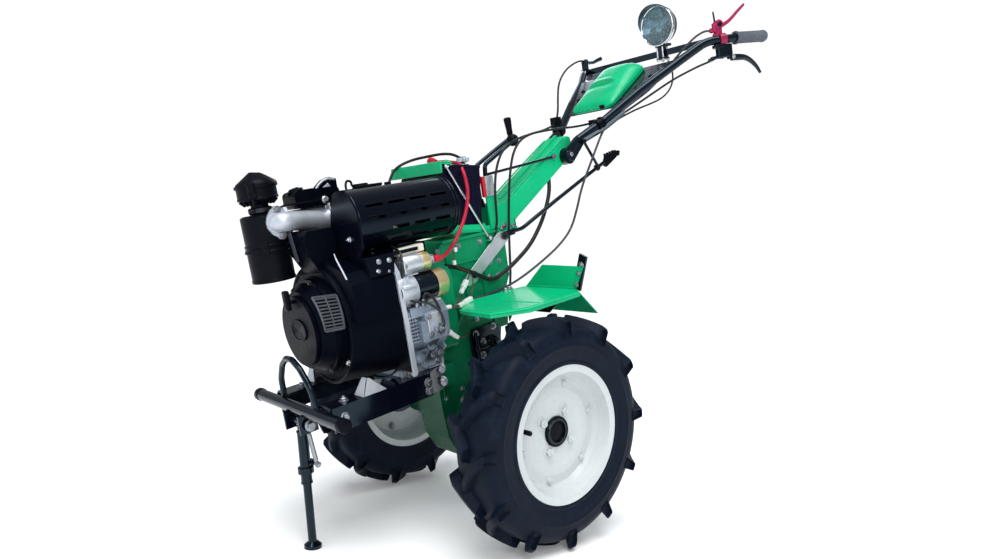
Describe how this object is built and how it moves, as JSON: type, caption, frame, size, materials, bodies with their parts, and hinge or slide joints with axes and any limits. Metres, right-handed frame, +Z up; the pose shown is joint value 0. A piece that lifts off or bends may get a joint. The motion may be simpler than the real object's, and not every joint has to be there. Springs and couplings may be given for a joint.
{
  "type": "power tiller",
  "caption": "Two-wheel walking tractor with a front diesel engine, geared axle, lugged tyres, green fenders, front prop stand and long raised handlebars with hand levers.",
  "frame": {"origin": "bottom centre of the bounding box of the machine as parked on its two wheels and front stand", "axes": "+X forward, the way the engine points; +Y to the machine's left along the wheel axle; +Z up"},
  "size_m": [1.601, 0.82, 1.6018],
  "materials": {
    "battery_case": "satin",
    "black_casting": "satin",
    "black_paint": "gloss",
    "black_plastic": "matte",
    "cable_sheath": "satin",
    "cast_aluminium": "satin",
    "cream_paint": "satin",
    "green_casting": "gloss",
    "green_paint": "gloss",
    "green_plastic": "gloss",
    "grey_cable_sheath": "satin",
    "grip_rubber": "matte",
    "red_cable_sheath": "satin",
    "red_plastic": "gloss",
    "tyre_rubber": "matte",
    "zinc_steel": "satin"
  },
  "bodies": {
    "chassis": {"air_cleaner_body": "black_plastic", "air_precleaner": "black_plastic", "battery": "battery_case", "battery_black_cable": "cable_sheath", "battery_clamp_bar": "green_paint", "battery_red_cable": "red_cable_sheath", "battery_tray": "green_paint", "blower_housing": "black_casting", "brace_bar": "zinc_steel", "clutch_bell": "green_casting", "control_rods": "black_paint", "cylinder_head": "black_casting", "engine_block": "cast_aluminium", "fender_stays": "black_paint", "frame_rails": "black_paint", "front_cross_tube": "black_paint", "front_guard_hoop": "black_paint", "fuel_tank": "black_plastic", "gear_levers": "black_paint", "gearbox_case": "green_casting", "gearbox_upper": "green_casting", "intake_elbow": "cast_aluminium", "left_fender": "green_paint", "muffler": "black_paint", "muffler_guard": "black_paint", "rear_hitch": "green_paint", "recoil_handle": "black_plastic", "recoil_starter": "black_casting", "right_fender": "green_paint", "stand_bracket": "black_paint", "starter_motor": "black_paint", "starter_solenoid": "zinc_steel", "steering_column": "green_paint", "wiring_harness": "cable_sheath"},
    "left_wheel": {"left_tyre": "tyre_rubber", "left_rim": "cream_paint", "left_hub": "black_paint"},
    "right_wheel": {"right_tyre": "tyre_rubber", "right_rim": "cream_paint", "right_hub": "black_paint"},
    "front_stand": {"stand_leg": "black_paint", "stand_springs": "zinc_steel"},
    "handlebar": {"handlebar_left_arm": "black_paint", "handlebar_right_arm": "black_paint", "pivot_bolt": "zinc_steel", "handlebar_crossbar": "black_paint", "toolbox_plate": "black_paint", "toolbox": "green_plastic", "headlamp": "black_plastic", "headlamp_clamp": "zinc_steel", "grips": "grip_rubber", "hand_levers": "black_paint", "throttle_lever": "red_plastic", "rod_strut": "black_paint", "cable_clamps": "black_plastic", "lamp_wire": "cable_sheath", "clutch_cable": "cable_sheath", "throttle_cable": "grey_cable_sheath", "far_lever_cable": "cable_sheath"}
  },
  "joints": [
    {"name": "left_wheel_spin", "type": "hinge", "parent": "chassis", "child": "left_wheel", "pos_m": [0.16648, 0.344, 0.29], "axis": [0, 1, 0], "continuous": true},
    {"name": "right_wheel_spin", "type": "hinge", "parent": "chassis", "child": "right_wheel", "pos_m": [0.16648, -0.344, 0.29], "axis": [0, 1, 0], "continuous": true},
    {"name": "front_stand_fold", "type": "hinge", "parent": "chassis", "child": "front_stand", "pos_m": [0.66823, 0, 0.31134], "axis": [0, 1, 0], "range_deg": [-95, 0]},
    {"name": "handlebar_height", "type": "hinge", "parent": "chassis", "child": "handlebar", "pos_m": [-0.16339, 0, 1.04182], "axis": [0, 1, 0], "range_deg": [-12, 12], "deforming": ["clutch_cable", "throttle_cable", "far_lever_cable"]}
  ]
}
